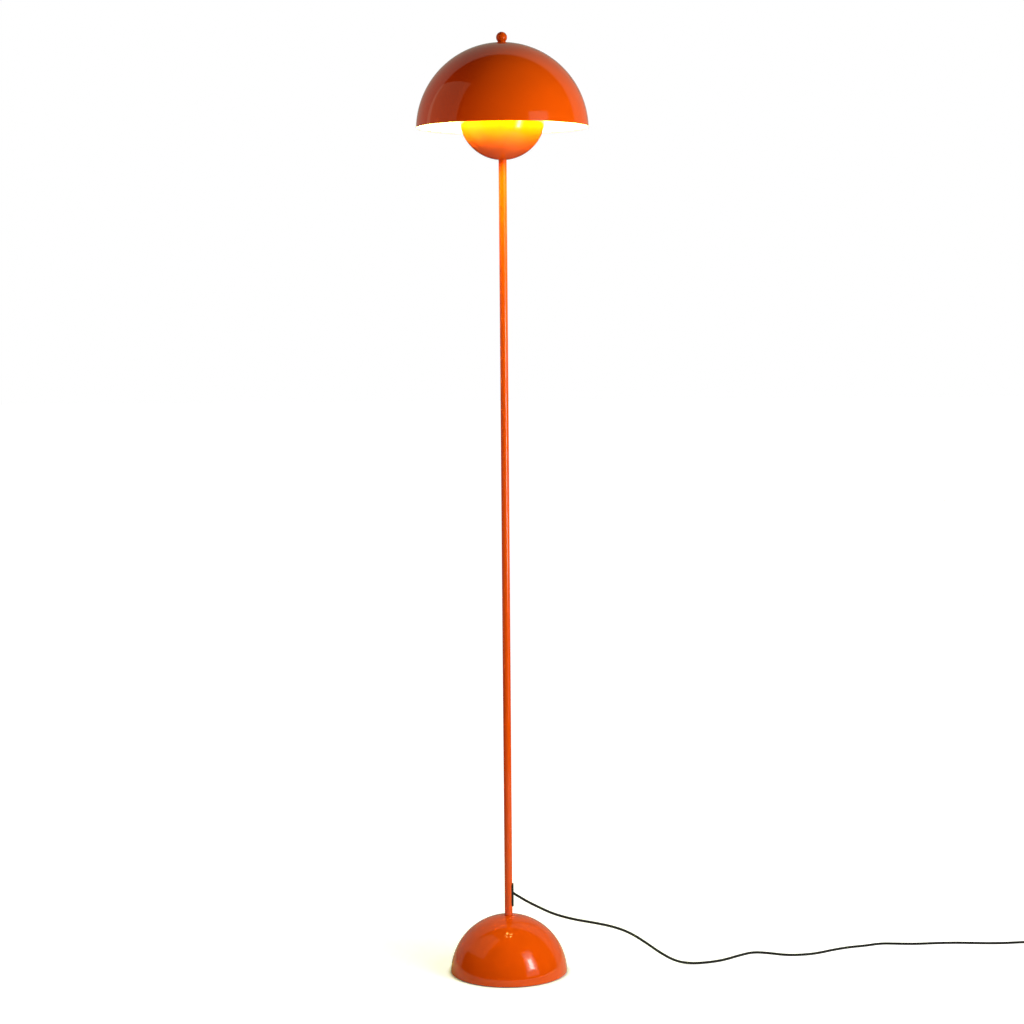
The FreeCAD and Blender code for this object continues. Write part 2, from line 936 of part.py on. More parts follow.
def least_gap(path):
    """The least gap between turns of a wound tube, on points a millimetre apart."""
    points = path.discretize(Distance=1.0)
    apart = round(4 * cord_diameter)
    least = min((p - q).Length for i, p in enumerate(points) for q in points[i + apart :])
    return least - cord_diameter


def cord_coil():
    path = coil_path()
    print(f"cord_coil: least gap {least_gap(path):.2f} mm")
    return measured_tube("cord_coil", path)


def sleeve(bottom, heading, length, wide, narrow):
    """A tapered rubber sleeve round the cord, from its wide end along heading."""
    cone = Part.makeCone(wide / 2, narrow / 2, length, bottom, heading)
    start = bottom - heading * overlap
    return cone.cut(Part.makeCylinder(cord_diameter / 2 + fit, length + 2 * overlap, start, heading))


# ---- Foot switch ----


def boat(length, width, end_width, low, high):
    """A prism with bowed sides and flat ends, long way along Y, at the switch's place."""
    half, end, side = length / 2, end_width / 2, width / 2
    edges = [
        Part.Arc(at(end, half, low), at(side, 0, low), at(end, -half, low)).toShape(),
        line(at(end, -half, low), at(-end, -half, low)),
        Part.Arc(at(-end, -half, low), at(-side, 0, low), at(-end, half, low)).toShape(),
        line(at(-end, half, low), at(end, half, low)),
    ]
    prism = Part.Face(Part.Wire(edges)).extrude(at(0, 0, high - low))
    return prism.translated(at(switch_x, switch_y, 0))


def switch_cavity(low, high):
    """The space inside the switch, round its screw posts."""
    narrow = 2 * switch_wall
    cavity = boat(switch_length - narrow, switch_width - narrow, switch_end_width - narrow, low, high)
    post = disc(switch_post_radius, low - overlap, high + overlap)
    for x, y in switch_screw_places():
        cavity = cavity.cut(post.translated(at(x, y, 0)))
    return cavity


def switch_screw_places():
    aside, along = switch_screw_aside, switch_screw_along
    return [(switch_x + side * aside, switch_y + side * along) for side in (1, -1)]


def switch_cord_hole():
    along = at(0, 1, 0)
    start = at(switch_x, switch_y - switch_length, switch_seam_z)
    return Part.makeCylinder(cord_diameter / 2 + fit, 2 * switch_length, start, along)


def switch_screw_shape(play=0.0):
    """Countersunk, from below; with play it is the hole."""
    shank, head = switch_screw_diameter / 2 + play, switch_screw_head / 2 + play
    top = switch_screw_length
    return turned((0, 0), (head, 0), (shank, head - shank), (shank, top), (0, top))


def switch_base():
    body = boat(switch_length, switch_width, switch_end_width, 0, switch_seam_z)
    body = body.cut(switch_cavity(switch_wall, switch_seam_z + overlap)).cut(switch_cord_hole())
    for x, y in switch_screw_places():
        body = body.cut(switch_screw_shape(fit).translated(at(x, y, 0)))
    return body.removeSplitter()


def switch_cover():
    body = boat(switch_length, switch_width, switch_end_width, switch_seam_z, switch_top_z)
    body = body.makeFillet(switch_edge, [e for e in body.Edges if e.BoundBox.ZMin > switch_top_z - fit])
    inside_z = switch_top_z - switch_wall
    body = body.cut(switch_cavity(switch_seam_z - overlap, inside_z)).cut(switch_cord_hole())
    for x, y in switch_screw_places():
        body = body.cut(switch_screw_shape(fit).translated(at(x, y, 0)))
    button_hole = disc(button_radius + moving_gap, inside_z - overlap, switch_top_z + overlap)
    return body.cut(button_hole.translated(at(switch_x, switch_y, 0))).removeSplitter()


def switch_screws():
    screws = [switch_screw_shape().translated(at(x, y, 0)) for x, y in switch_screw_places()]
    return Part.makeCompound(screws)


def switch_button():
    """A round button, held under the cover by a flange at its foot."""
    top = switch_top_z + button_proud
    flange_top = button_low_z + button_flange_height
    body = turned(
        (0, top),
        (button_radius - button_edge, top),
        about(button_radius - button_edge, top - button_edge),
        (button_radius, top - button_edge),
        (button_radius, flange_top),
        (button_radius + button_flange, flange_top),
        (button_radius + button_flange, button_low_z),
        (0, button_low_z),
    )
    return body.translated(at(switch_x, switch_y, 0))


def switch_block():
    """The closed push mechanism that the button works on."""
    corner = at(switch_x - block_width / 2, switch_y - block_length / 2, switch_wall)
    block = Part.makeBox(block_width, block_length, block_height, corner)
    plunger = disc(plunger_radius, switch_wall, button_low_z - button_travel - moving_gap)
    return block.fuse(plunger.translated(at(switch_x, switch_y, 0))).removeSplitter()


def switch_sleeves():
    sleeves = []
    for side in (1, -1):
        end = at(switch_x, switch_y + side * switch_length / 2, switch_seam_z)
        sleeves.append(sleeve(end, at(0, side, 0), gland_length, gland_wide, gland_narrow))
    return Part.makeCompound(sleeves)


# ---- Plug ----


def plug_x():
    return coil_end().x + plug_sway


def pin_places():
    return [plug_x() + side * pin_spacing / 2 for side in (-1, 1)]


def along_pins(shape):
    """The shape at each pin's place, turned from +Z to +Y, with z = 0 on the body's front face."""
    shape.rotate(ORIGIN, at(1, 0, 0), -90)
    return [shape.translated(at(x, plug_y + plug_length, plug_z)) for x in pin_places()]


def plug_body():
    x, low, high = plug_x(), plug_y, plug_y + plug_length
    half, tail, shoulder = plug_width / 2, plug_tail_width / 2, high - plug_nose_length
    floor_z = plug_z - plug_thickness / 2
    plan = [(tail, low), (half, shoulder), (half, high), (-half, high), (-half, shoulder), (-tail, low)]
    corners = [at(x + aside, y, floor_z) for aside, y in plan + plan[:1]]
    face = Part.Face(Part.makePolygon(corners))
    body = face.extrude(UP * plug_thickness)
    body = body.makeChamfer(plug_edge, [e for e in body.Edges if e.BoundBox.ZLength < fit])
    for hole in along_pins(disc(pin_core_diameter / 2 + fit, -pin_root, overlap)):
        body = body.cut(hole)
    return body


def plug_pins():
    """Round pins with domed tips, on thinner cores that are moulded into the body."""
    radius, core, shoulder = pin_diameter / 2, pin_core_diameter / 2, pin_sleeve_length + fit
    pin = turned(
        (0, -pin_root),
        (core, -pin_root),
        (core, shoulder),
        (radius, shoulder),
        (radius, pin_length - radius),
        about(0, pin_length - radius),
        (0, pin_length),
    )
    return Part.makeCompound(along_pins(pin))


def pin_sleeves():
    sleeve_tube = ring(pin_sleeve_diameter / 2, pin_core_diameter / 2 + fit, 0, pin_sleeve_length)
    return Part.makeCompound(along_pins(sleeve_tube))


def plug_sleeve():
    rear = at(plug_x(), plug_y, plug_z)
    return sleeve(rear, at(0, -1, 0), plug_gland_length, plug_thickness - 2 * plug_edge, gland_narrow)


pieces = {
    "base_shell": base_shell,
    "base_pad": base_pad,
    "base_plate": base_plate,
    "base_lugs": base_lugs,
    "base_screws": base_screws,
    "base_weight": base_weight,
    "pole_bolt": pole_bolt,
    "bolt_washer": bolt_washer,
    "lower_pole": lower_pole,
    "upper_pole": upper_pole,
    "pole_foot_plug": pole_foot_plug,
    "pole_joint_sleeve": pole_joint_sleeve,
    "pole_top_plug": pole_top_plug,
    "cord_outlet": cord_outlet,
    "inner_cord": inner_cord,
    "bowl_collar": bowl_collar,
    "bowl": bowl,
    "head_nipple": head_nipple,
    "saddle_washer": saddle_washer,
    "nipple_nut": nipple_nut,
    "carrier_foot": carrier_foot,
    "carrier_legs": carrier_legs,
    "carrier_hub": carrier_hub,
    "hub_felt": hub_felt,
    "shade": shade,
    "finial": finial,
    "holder_cap": holder_cap,
    "holder_body": holder_body,
    "holder_insert": holder_insert,
    "screw_shell": screw_shell,
    "centre_contact": centre_contact,
    "holder_leads": holder_leads,
    "bulb_glass": bulb_glass,
    "bulb_cap": bulb_cap,
    "bulb_insulator": bulb_insulator,
    "bulb_tip": bulb_tip,
    "cord_run": lambda: free_cord("cord_run", cord_run_points()),
    "cord_tail": lambda: free_cord("cord_tail", cord_tail_points()),
    "cord_coil": cord_coil,
    "cord_end": lambda: free_cord("cord_end", cord_end_points()),
    "switch_base": switch_base,
    "switch_cover": switch_cover,
    "switch_button": switch_button,
    "switch_block": switch_block,
    "switch_screws": switch_screws,
    "switch_sleeves": switch_sleeves,
    "plug_body": plug_body,
    "plug_pins": plug_pins,
    "pin_sleeves": pin_sleeves,
    "plug_sleeve": plug_sleeve,
}

os.makedirs("parts", exist_ok=True)
for name, make in pieces.items():
    make().exportStep(f"parts/{name}.step")
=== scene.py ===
import math

import bmesh
import bpy
from mathutils import Matrix, Vector


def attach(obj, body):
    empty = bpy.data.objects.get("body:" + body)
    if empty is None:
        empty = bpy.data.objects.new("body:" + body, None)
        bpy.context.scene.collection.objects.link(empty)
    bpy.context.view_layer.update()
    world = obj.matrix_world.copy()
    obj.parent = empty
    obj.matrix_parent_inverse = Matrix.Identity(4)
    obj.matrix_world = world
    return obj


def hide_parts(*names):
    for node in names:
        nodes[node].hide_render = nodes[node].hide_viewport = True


# A mushroom floor lamp, dressed over its solids and set in a white studio.
# Metres, +Z up. Pattern scales are per metre, and relief depths are in metres.

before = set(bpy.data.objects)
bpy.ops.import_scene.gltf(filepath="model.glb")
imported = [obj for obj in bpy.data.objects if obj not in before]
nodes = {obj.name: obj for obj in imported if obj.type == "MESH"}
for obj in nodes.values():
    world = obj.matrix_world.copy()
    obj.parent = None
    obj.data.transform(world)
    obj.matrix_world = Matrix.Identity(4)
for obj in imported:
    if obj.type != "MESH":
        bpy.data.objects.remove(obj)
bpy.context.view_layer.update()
scene = bpy.context.scene


def link(name, data):
    obj = bpy.data.objects.new(name, data)
    scene.collection.objects.link(obj)
    return obj


# ---- Camera: solved from the outlines of the domes, the pole and the cord ----

PITCH, ROLL = math.radians(5.1056), math.radians(0.45)
CAMERA_AT = Vector((0.01366, -4.650, 1.386))
LENS_MM, SENSOR_MM = 79.296, 36.0

forward = Vector((0, math.cos(PITCH), -math.sin(PITCH)))
level_up = Vector((0, math.sin(PITCH), math.cos(PITCH)))
level_right = Vector((1, 0, 0))
right = math.cos(ROLL) * level_right - math.sin(ROLL) * level_up
up = math.sin(ROLL) * level_right + math.cos(ROLL) * level_up

camera_data = bpy.data.cameras.new("photo_camera")
camera_data.lens = LENS_MM
camera_data.sensor_width = SENSOR_MM
camera = link("photo_camera", camera_data)
turn = Matrix((right, up, -forward)).transposed().to_4x4()
camera.matrix_world = Matrix.Translation(CAMERA_AT) @ turn
scene.camera = camera


# ---- Cord: one smooth line from the outlet to the switch, another from there to the plug ----

CORD_DIAMETER = 0.0054
FLOOR_Z = 0.00275  # the middle of a cord that lies on the floor
COIL_PITCH = 0.0059
RING_STEP = 0.0015  # from one ring of the cord's mesh to the next
RING_SIDES = 24
SWITCH_IN, SWITCH_OUT = (1.215, 0.089, 0.008), (1.215, 0.005, 0.008)
PLUG_END = (1.1455, -0.005, 0.0069)
COIL_START_X, COIL_Y = 1.218, -0.118

run_route = [
    (0.01095, 0, 0.166), (0.0336, 0, 0.1513), (0.062, 0.008, 0.1345), (0.094, 0.012, 0.118),
    (0.136, 0.012, 0.106), (0.182, 0.012, 0.098), (0.224, 0.013, 0.0885), (0.258, 0.014, 0.0745),
    (0.290, 0.016, 0.053), (0.321, 0.0195, 0.0295), (0.354, 0.026, 0.0095),
]
run_route += [(x, y, FLOOR_Z) for x, y in [
    (0.387, 0.0325), (0.419, 0.038), (0.455, 0.054), (0.490, 0.086), (0.526, 0.115), (0.562, 0.105),
    (0.594, 0.0895), (0.628, 0.090), (0.664, 0.1015), (0.701, 0.127), (0.740, 0.1465), (0.776, 0.1565),
    (0.812, 0.1735), (0.848, 0.1695), (0.886, 0.1665), (0.930, 0.172), (0.978, 0.174), (1.026, 0.169),
    (1.073, 0.167), (1.122, 0.174), (1.166, 0.1785),
]]
run_route += [(1.198, 0.162, 0.0032), (1.215, 0.129, 0.008), SWITCH_IN]

COIL_RADII = [0.037, 0.03405, 0.0311, 0.02815, 0.0252, 0.02815, 0.0311, 0.03405, 0.037]
CLIMBING = 4  # the half turn that rises from the lower layer to the upper one
STEPS = 8  # control points in half a turn
WIDER = 1 / 0.981  # a spline of 16 points a turn runs this much inside them


def coil_route(x):
    """Half turns, clockwise from above, that spiral in on the floor and out again on top."""
    points, side = [], 1
    for i, radius in enumerate(COIL_RADII):
        for k in range(STEPS):
            angle = math.pi * k / STEPS
            if i < CLIMBING:
                z = FLOOR_Z
            elif i == CLIMBING:
                z = FLOOR_Z + COIL_PITCH * k / STEPS
            else:
                z = FLOOR_Z + COIL_PITCH
            along, across = math.cos(angle) * WIDER, math.sin(angle) * WIDER
            points.append((x - side * radius * (1 - along), COIL_Y - side * radius * across, z))
        x -= 2 * side * radius
        side = -side
    return points


tail_route = [
    SWITCH_OUT, (1.215, -0.0342, 0.008), (COIL_START_X, -0.0734, FLOOR_Z),
    (COIL_START_X, -0.1046, FLOOR_Z),
]
tail_route += coil_route(COIL_START_X)
tail_route += [
    (1.144, COIL_Y, FLOOR_Z + COIL_PITCH), (1.144, -0.1046, FLOOR_Z + COIL_PITCH),
    (1.144, -0.0767, FLOOR_Z + COIL_PITCH), (1.1455, -0.0409, 0.0069), PLUG_END,
]


def smooth_line(route):
    """Points read from the route's spline."""
    curve = bpy.data.curves.new("route", "CURVE")
    curve.dimensions = "3D"
    curve.resolution_u = 16
    spline = curve.splines.new("NURBS")
    spline.points.add(len(route) - 1)
    for point, place in zip(spline.points, route):
        point.co = (*place, 1)
    spline.order_u = 3
    spline.use_endpoint_u = True
    holder = link("route", curve)
    mesh = bpy.data.meshes.new_from_object(holder)
    line = [v.co.copy() for v in mesh.vertices]
    bpy.data.objects.remove(holder)
    bpy.data.meshes.remove(mesh)
    return line


def evenly(line, step):
    """The same line, in points that are an even step apart."""
    length = sum((b - a).length for a, b in zip(line, line[1:]))
    count = round(length / step)
    step = length / count
    points, gone = [line[0]], 0.0
    for a, b in zip(line, line[1:]):
        part = (b - a).length
        while gone + part >= step * len(points) - 1e-9 and len(points) < count:
            points.append(a.lerp(b, (step * len(points) - gone) / part))
        gone += part
    return points + [line[-1]], length


def new_mesh(name, vertices, faces, materials):
    mesh = bpy.data.meshes.new(name)
    mesh.from_pydata(vertices, [], faces)
    for material in materials:
        mesh.materials.append(material)
    mesh.polygons.foreach_set("use_smooth", [True] * len(mesh.polygons))
    mesh.update()
    return link(name, mesh)


def tube_along(name, line, material):
    """A cord's round tube with closed ends, and a map that runs round it and along it in metres."""
    radius, sides = CORD_DIAMETER / 2, RING_SIDES
    heading = (line[1] - line[0]).normalized()
    normal = heading.orthogonal().normalized()
    vertices, travelled = [], [0.0]
    for i, point in enumerate(line):
        ahead = (line[min(i + 1, len(line) - 1)] - line[max(i - 1, 0)]).normalized()
        normal = (normal - ahead * normal.dot(ahead)).normalized()
        across = ahead.cross(normal)
        for k in range(sides):
            angle = 2 * math.pi * k / sides
            vertices.append(point + radius * (math.cos(angle) * normal + math.sin(angle) * across))
        if i:
            travelled.append(travelled[-1] + (point - line[i - 1]).length)
    faces = [
        (i * sides + k, i * sides + (k + 1) % sides, (i + 1) * sides + (k + 1) % sides, (i + 1) * sides + k)
        for i in range(len(line) - 1)
        for k in range(sides)
    ]
    ends = [tuple(reversed(range(sides))), tuple(range((len(line) - 1) * sides, len(line) * sides))]
    obj = new_mesh(name, vertices, faces + ends, [material])
    layer = obj.data.uv_layers.new(name="braid")
    for face in obj.data.polygons[: len(faces)]:
        i, k = divmod(face.index, sides)
        corners = ((k, i), (k + 1, i), (k + 1, i + 1), (k, i + 1))
        for loop, (around, along) in zip(face.loop_indices, corners):
            layer.data[loop].uv = (around / sides, travelled[along])
    return obj


# ---- Materials ----


class Paint:
    """One surface: a shader whose colour, roughness and height follow patterns."""

    def __init__(self, name, colour, roughness, **fixed):
        self.material = bpy.data.materials.new(name)
        self.material.use_nodes = True
        self.tree = self.material.node_tree
        self.shader = self.tree.nodes["Principled BSDF"]
        self.shader.inputs["Base Color"].default_value = (*colour, 1)
        self.shader.inputs["Roughness"].default_value = roughness
        for socket, value in fixed.items():
            self.shader.inputs[socket.replace("_", " ")].default_value = value
        self.place = self.tree.nodes.new("ShaderNodeTexCoord").outputs["Object"]
        self.normal = None

    def node(self, kind, **settings):
        node = self.tree.nodes.new("ShaderNode" + kind)
        for setting, value in settings.items():
            setattr(node, setting, value)
        return node

    def join(self, out, into):
        self.tree.links.new(out, into)

    def sum(self, kind, first, second=0.0):
        node = self.node("Math", operation=kind)
        for socket, value in zip(node.inputs, (first, second)):
            if isinstance(value, (int, float)):
                socket.default_value = value
            else:
                self.join(value, socket)
        return node.outputs[0]

    def stretched(self, scale):
        node = self.node("Mapping")
        node.inputs["Scale"].default_value = scale
        self.join(self.place, node.inputs["Vector"])
        return node.outputs[0]

    def noise(self, scale, detail=2.0, rough=0.5, place=None):
        node = self.node("TexNoise")
        node.inputs["Scale"].default_value = scale
        node.inputs["Detail"].default_value = detail
        node.inputs["Roughness"].default_value = rough
        self.join(place or self.place, node.inputs["Vector"])
        return node.outputs["Fac"]

    def cells(self, scale, output="Distance"):
        node = self.node("TexVoronoi")
        node.inputs["Scale"].default_value = scale
        self.join(self.place, node.inputs["Vector"])
        return node.outputs[output]

    def ranged(self, value, low, high, to_low=0.0, to_high=1.0):
        node = self.node("MapRange")
        for socket, number in zip(list(node.inputs)[1:5], (low, high, to_low, to_high)):
            socket.default_value = number
        self.join(value, node.inputs["Value"])
        return node.outputs["Result"]

    def colours(self, value, *stops, into="Base Color"):
        """Colours along the pattern's value: (value, colour) pairs."""
        node = self.node("ValToRGB")
        ramp = node.color_ramp.elements
        while len(ramp) < len(stops):
            ramp.new(1.0)
        for element, (position, colour) in zip(ramp, stops):
            element.position = position
            element.color = (*colour, 1)
        self.join(value, node.inputs["Fac"])
        self.join(node.outputs["Color"], self.shader.inputs[into])
        return self

    def gloss(self, value, low, high):
        self.join(self.ranged(value, 0.3, 0.7, low, high), self.shader.inputs["Roughness"])
        return self

    def relief(self, height, depth):
        """Raises the surface by the pattern, in metres; a second one lies on the first."""
        node = self.node("Bump")
        node.inputs["Strength"].default_value = 1.0
        node.inputs["Distance"].default_value = depth
        self.join(height, node.inputs["Height"])
        if self.normal:
            self.join(self.normal, node.inputs["Normal"])
        self.normal = node.outputs["Normal"]
        self.join(self.normal, self.shader.inputs["Normal"])
        return self


def shades_of(colour, *factors):
    return [tuple(c * f for c in colour) for f in factors]


def lacquer(name, colour, roughness, spread=0.03):
    """Sprayed gloss paint: a soft mottle in its colour, orange peel and the odd speck of dust under it."""
    paint = Paint(name, colour, roughness, IOR=1.5)
    dark, plain, light = shades_of(colour, 1 - spread, 1.0, 1 + spread)
    paint.colours(paint.noise(9.0, 3.0), (0.3, dark), (0.5, plain), (0.7, light))
    paint.gloss(paint.noise(42.0, 3.0), roughness * 0.75, roughness * 1.3)
    paint.relief(paint.noise(330.0, 1.0), 7e-7)
    specks = paint.ranged(paint.cells(38.0), 0.0, 0.012, 1.0, 0.0)
    return paint.relief(specks, 2.5e-5).material


def moulded(name, colour, roughness, grain=2600.0, depth=1.2e-5):
    """Moulded plastic or rubber with an even fine grain."""
    paint = Paint(name, colour, roughness)
    dark, light = shades_of(colour, 0.8, 1.3)
    paint.colours(paint.noise(70.0, 4.0), (0.3, dark), (0.7, light))
    paint.gloss(paint.noise(160.0, 3.0), roughness * 0.85, roughness * 1.15)
    paint.relief(paint.noise(30.0, 1.0), 3e-5)
    return paint.relief(paint.noise(grain, 1.0), depth).material


def plated(name, colour, roughness):
    """Plated steel: faint crystals, handling marks and a slight unevenness."""
    paint = Paint(name, colour, roughness, Metallic=1.0)
    dark, light = shades_of(colour, 0.82, 1.08)
    paint.colours(paint.cells(420.0, output="Color"), (0.2, dark), (0.8, light))
    paint.gloss(paint.noise(55.0, 5.0), roughness * 0.7, roughness * 1.35)
    return paint.relief(paint.noise(900.0, 2.0), 6e-6).material


def turned_metal(name, colour, roughness, pitch=2200.0):
    """Metal with fine rings from the lathe, one above the other."""
    paint = Paint(name, colour, roughness, Metallic=1.0)
    rings = paint.noise(1.0, 2.0, place=paint.stretched((0.02 * pitch, 0.02 * pitch, pitch)))
    dark, light = shades_of(colour, 0.85, 1.1)
    paint.colours(paint.noise(60.0, 4.0), (0.3, dark), (0.7, light))
    paint.gloss(rings, roughness * 0.7, roughness * 1.3)
    return paint.relief(rings, 8e-6).material


ORANGE = (0.80, 0.082, 0.0006)
orange = lacquer("orange_lacquer_paint", ORANGE, 0.03)
white = lacquer("white_lacquer_paint", (0.86, 0.84, 0.80), 0.30, 0.015)
black_plastic = moulded("black_plastic_grain", (0.006, 0.0055, 0.005), 0.45)
black_rubber = moulded("black_rubber_grain", (0.017, 0.016, 0.015), 0.62, 1800.0, 1.8e-5)
insulation = moulded("lead_insulation_grain", (0.10, 0.045, 0.022), 0.35)
zinc = plated("zinc_plated_steel", (0.60, 0.60, 0.58), 0.34)
nickel = turned_metal("nickel_plated_pin", (0.74, 0.72, 0.68), 0.18)
brass = turned_metal("turned_brass", (0.78, 0.55, 0.22), 0.24)
aluminium = turned_metal("turned_aluminium", (0.78, 0.78, 0.79), 0.30)
cap_metal = turned_metal("bulb_cap_metal", (0.72, 0.72, 0.71), 0.28)


def cast_iron():
    paint = Paint("cast_iron_skin", (0.045, 0.043, 0.042), 0.7)
    paint.colours(paint.noise(120.0, 6.0, 0.7), (0.3, (0.022, 0.021, 0.021)), (0.62, (0.06, 0.055, 0.05)),
                  (0.75, (0.13, 0.065, 0.03)))
    paint.gloss(paint.noise(260.0, 3.0), 0.55, 0.85)
    return paint.relief(paint.noise(420.0, 6.0, 0.7), 3.5e-4).material


def felt():
    paint = Paint("black_felt", (0.02, 0.018, 0.017), 1.0, Sheen_Weight=0.4, Sheen_Roughness=0.5)
    fibres = paint.noise(2400.0, 4.0, 0.75, place=paint.stretched((1.0, 0.35, 1.0)))
    paint.colours(fibres, (0.35, (0.008, 0.007, 0.007)), (0.7, (0.055, 0.05, 0.046)))
    return paint.relief(fibres, 2.5e-4).material


def ceramic():
    paint = Paint("glazed_ceramic", (0.82, 0.80, 0.75), 0.2, Coat_Weight=0.6, Coat_Roughness=0.08)
    paint.colours(paint.noise(600.0, 5.0), (0.32, (0.60, 0.57, 0.50)), (0.42, (0.82, 0.80, 0.75)))
    paint.gloss(paint.noise(90.0, 3.0), 0.15, 0.3)
    return paint.relief(paint.noise(240.0, 2.0), 3e-5).material


def lit_glass():
    """Opal glass with the lamp alight inside it; the coating thins a little here and there."""
    paint = Paint("lit_opal_glass", (0.85, 0.83, 0.78), 0.18, Emission_Strength=88.0)
    glow_colours = (0.3, (1.0, 0.40, 0.13)), (0.7, (1.0, 0.44, 0.15))
    paint.colours(paint.noise(35.0, 3.0), *glow_colours, into="Emission Color")
    paint.colours(paint.noise(80.0, 3.0), (0.3, (0.82, 0.80, 0.75)), (0.7, (0.88, 0.86, 0.81)))
    return paint.relief(paint.noise(150.0, 1.0), 1.5e-5).material


def braid():
    """Braided yarn round the cord: two sets that cross over and under, with a few brown ones."""
    yarns_round, yarns_a_metre, brown_one_in = 16.0, 830.0, 8.0
    paint = Paint("black_braided_textile", (0.014, 0.012, 0.011), 0.75,
                  Sheen_Weight=0.06, Sheen_Roughness=0.4)
    split = paint.node("SeparateXYZ")
    where = paint.node("UVMap", uv_map="braid")
    paint.join(where.outputs["UV"], split.inputs[0])
    around = paint.sum("MULTIPLY", split.outputs["X"], yarns_round)
    along = paint.sum("MULTIPLY", split.outputs["Y"], yarns_a_metre)
    sets = [paint.sum("ADD", around, along), paint.sum("SUBTRACT", around, along)]
    crowns = [paint.sum("ABSOLUTE", paint.sum("SINE", paint.sum("MULTIPLY", s, math.pi))) for s in sets]
    index = [paint.sum("FLOOR", s) for s in sets]
    over = paint.sum("FLOORED_MODULO", paint.sum("ADD", index[0], index[1]), 2.0)
    under = paint.sum("SUBTRACT", 1.0, over)
    yarn = paint.sum("ADD", paint.sum("MULTIPLY", over, crowns[0]), paint.sum("MULTIPLY", under, crowns[1]))
    brown = paint.sum("LESS_THAN", paint.sum("FLOORED_MODULO", index[0], brown_one_in), 1.0)
    tint = paint.sum("MULTIPLY", brown, over)
    fuzz = paint.noise(5200.0, 3.0, 0.7)
    tone = paint.sum("ADD", paint.sum("MULTIPLY", yarn, 0.30), paint.sum("MULTIPLY", fuzz, 0.22))
    tone = paint.sum("ADD", tone, paint.sum("MULTIPLY", tint, 0.42))
    paint.colours(tone, (0.05, (0.002, 0.0016, 0.0014)), (0.45, (0.008, 0.0062, 0.0052)),
                  (0.9, (0.040, 0.026, 0.018)))
    paint.relief(yarn, 2.2e-4)
    return paint.relief(fuzz, 6e-5).material


textile = braid()

finishes = {
    zinc: [
        "base_plate", "base_lugs", "base_screws", "pole_bolt", "bolt_washer", "pole_foot_plug",
        "pole_top_plug", "head_nipple", "saddle_washer", "nipple_nut", "carrier_foot", "carrier_legs",
        "switch_screws",
    ],
    cast_iron(): ["base_weight"],
    felt(): ["base_pad", "hub_felt"],
    aluminium: ["pole_joint_sleeve"],
    brass: ["carrier_hub", "screw_shell", "centre_contact"],
    ceramic(): ["holder_insert", "bulb_insulator"],
    cap_metal: ["bulb_cap", "bulb_tip"],
    insulation: ["holder_leads"],
    black_plastic: [
        "cord_outlet", "holder_cap", "holder_body", "switch_base", "switch_cover", "switch_button",
        "switch_block", "pin_sleeves",
    ],
    nickel: ["plug_pins"],
    textile: ["inner_cord"],
    orange: ["bowl_collar"],
}
for material, names in finishes.items():
    for name in names:
        for slot in nodes[name].material_slots:
            slot.material = material


# ---- Turned shells, with the same sizes as the frame's ----


def arc(centre_z, radius, start, end, count):
    """Points (distance, z) on a circle about the axis; angles in degrees, 90 is straight up."""
    angles = [math.radians(start + (end - start) * i / count) for i in range(count + 1)]
    return [(radius * math.cos(a), centre_z + radius * math.sin(a)) for a in angles]


def rim_angle(centre_z, radius, z):
    return math.degrees(math.asin((z - centre_z) / radius))


def hole_angle(radius, hole):
    return math.degrees(math.acos(hole / radius))


def bend(corner, before, after, radius, count=4):
    """A rounded corner between the directions to its two neighbours."""
    corner, before, after = Vector(corner), Vector(before), Vector(after)
    start = corner + (before - corner).normalized() * radius
    end = corner + (after - corner).normalized() * radius
    points = []
    for i in range(count + 1):
        t = i / count
        points.append(tuple((1 - t) ** 2 * start + 2 * t * (1 - t) * corner + t * t * end))
    return points


def turned(name, profile, materials, rings=256, closed=True, kinds=None):
    """Turns a profile round the axis. kinds gives the material's number for each span."""
    vertices, first = [], []
    for distance, z in profile:
        first.append(len(vertices))
        if distance < 1e-9:
            vertices.append((0, 0, z))
            continue
        for k in range(rings):
            angle = 2 * math.pi * k / rings
            vertices.append((distance * math.cos(angle), distance * math.sin(angle), z))
    spans = list(range(len(profile) - 1)) + ([len(profile) - 1] if closed else [])
    faces, numbers = [], []
    for i in spans:
        j = (i + 1) % len(profile)
        a, b = first[i], first[j]
        if profile[i][0] < 1e-9 and profile[j][0] < 1e-9:
            continue
        for k in range(rings):
            m = (k + 1) % rings
            if profile[i][0] < 1e-9:
                faces.append((a, b + m, b + k))
            elif profile[j][0] < 1e-9:
                faces.append((a + k, a + m, b))
            else:
                faces.append((a + k, a + m, b + m, b + k))
            numbers.append(kinds[i] if kinds else 0)
    obj = new_mesh(name, vertices, faces, materials)
    obj.data.polygons.foreach_set("material_index", numbers)
    outward(obj)
    obj.data.set_sharp_from_angle(angle=math.radians(40))
    return obj


def outward(obj):
    mesh = bmesh.new()
    mesh.from_mesh(obj.data)
    bmesh.ops.recalc_face_normals(mesh, faces=mesh.faces)
    mesh.to_mesh(obj.data)
    mesh.free()


def piece(obj, body, slot, *replaced):
    if replaced:
        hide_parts(*replaced)
    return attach(obj, body)


